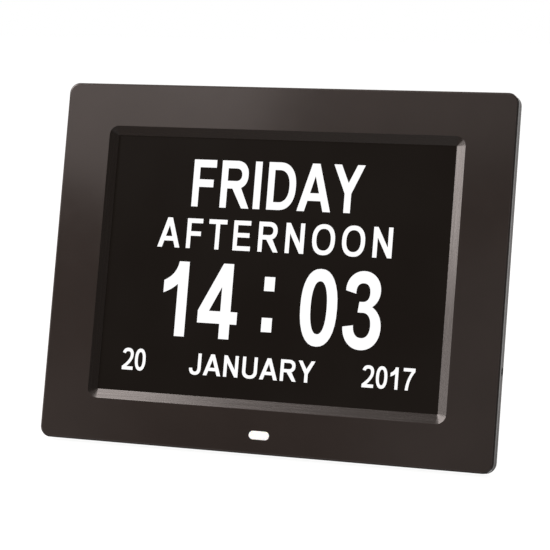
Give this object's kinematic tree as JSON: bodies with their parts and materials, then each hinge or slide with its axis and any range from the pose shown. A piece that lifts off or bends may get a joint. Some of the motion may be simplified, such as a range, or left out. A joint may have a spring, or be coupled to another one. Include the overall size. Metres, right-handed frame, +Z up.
{
  "type": "digital alarm clock",
  "caption": "Digital day clock: a wide screen in a bevelled black case that leans back on a fold-out leg, with push keys, sound slots and keyholes on its back and a power socket in its side.",
  "frame": {"origin": "on the table, under the middle of the clock's box as it stands with its leg open", "axes": "+X to the viewer's right, +Y from the front to the back, +Z up; the case leans back 14.5 degrees"},
  "size_m": [0.216, 0.075, 0.1647],
  "materials": {
    "case_black": "satin moulded plastic with a fine grain",
    "screen_glass": "dark glass with a low gloss",
    "window_milk": "milky",
    "rubber_black": "matt",
    "steel": "plated",
    "capacitor_can": "plain",
    "foam_black": "foam",
    "guide_clear": "polished",
    "tray_white": "moulded",
    "flex_amber": "film",
    "board_green": "solder mask",
    "chip_black": "moulded",
    "lamp_clear": "clear moulding",
    "magnet_dark": "ferrite",
    "cone_paper": "paper cone"
  },
  "bodies": {
    "case": {"front_bezel": "case_black", "rear_cover": "case_black", "status_window": "window_milk", "foot_pads": "rubber_black", "case_screws": "steel", "screen_gasket": "foam_black", "lcd_frame": "steel", "lcd_cell": "screen_glass", "light_guide": "guide_clear", "backlight_tray": "tray_white", "led_bar": "flex_amber", "lcd_flex": "flex_amber", "lcd_straps": "steel", "strap_screws": "steel", "main_board": "board_green", "flex_socket": "tray_white", "processor": "chip_black", "memory_chip": "chip_black", "clock_crystal": "steel", "supply_coil": "chip_black", "supply_capacitors": "capacitor_can", "cell_holder": "chip_black", "coin_cell": "steel", "button_board": "board_green", "switch_bodies": "chip_black", "status_board": "board_green", "status_led": "lamp_clear", "power_board": "board_green", "power_socket": "chip_black", "socket_contact": "steel", "board_screws": "steel", "left_speaker_basket": "steel", "left_speaker_cone": "cone_paper", "left_speaker_magnet": "magnet_dark", "right_speaker_basket": "steel", "right_speaker_cone": "cone_paper", "right_speaker_magnet": "magnet_dark", "hinge_pin": "steel", "hinge_washers": "steel"},
    "leg": {"stand_leg": "case_black", "leg_boot": "rubber_black"},
    "power_key": {"power_button": "case_black", "power_stem": "chip_black"},
    "menu_key": {"menu_button": "case_black", "menu_stem": "chip_black"},
    "up_key": {"up_button": "case_black", "up_stem": "chip_black"},
    "down_key": {"down_button": "case_black", "down_stem": "chip_black"},
    "left_key": {"left_button": "case_black", "left_stem": "chip_black"},
    "right_key": {"right_button": "case_black", "right_stem": "chip_black"},
    "exit_key": {"exit_button": "case_black", "exit_stem": "chip_black"}
  },
  "joints": [
    {"name": "leg_fold", "type": "hinge", "parent": "case", "child": "leg", "pos_m": [0, 0.00726, 0.10222], "axis": [1, 0, 0], "range_deg": [-29, 0]},
    {"name": "power_press", "type": "slide", "parent": "case", "child": "power_key", "axis": [0, -0.9681, 0.2504], "range_m": [0, 0.0006], "stiffness_N_per_m": 1500, "springref_m": -0.0004},
    {"name": "menu_press", "type": "slide", "parent": "case", "child": "menu_key", "axis": [0, -0.9681, 0.2504], "range_m": [0, 0.0006], "stiffness_N_per_m": 1500, "springref_m": -0.0004},
    {"name": "up_press", "type": "slide", "parent": "case", "child": "up_key", "axis": [0, -0.9681, 0.2504], "range_m": [0, 0.0006], "stiffness_N_per_m": 1500, "springref_m": -0.0004},
    {"name": "down_press", "type": "slide", "parent": "case", "child": "down_key", "axis": [0, -0.9681, 0.2504], "range_m": [0, 0.0006], "stiffness_N_per_m": 1500, "springref_m": -0.0004},
    {"name": "left_press", "type": "slide", "parent": "case", "child": "left_key", "axis": [0, -0.9681, 0.2504], "range_m": [0, 0.0006], "stiffness_N_per_m": 1500, "springref_m": -0.0004},
    {"name": "right_press", "type": "slide", "parent": "case", "child": "right_key", "axis": [0, -0.9681, 0.2504], "range_m": [0, 0.0006], "stiffness_N_per_m": 1500, "springref_m": -0.0004},
    {"name": "exit_press", "type": "slide", "parent": "case", "child": "exit_key", "axis": [0, -0.9681, 0.2504], "range_m": [0, 0.0006], "stiffness_N_per_m": 1500, "springref_m": -0.0004}
  ]
}
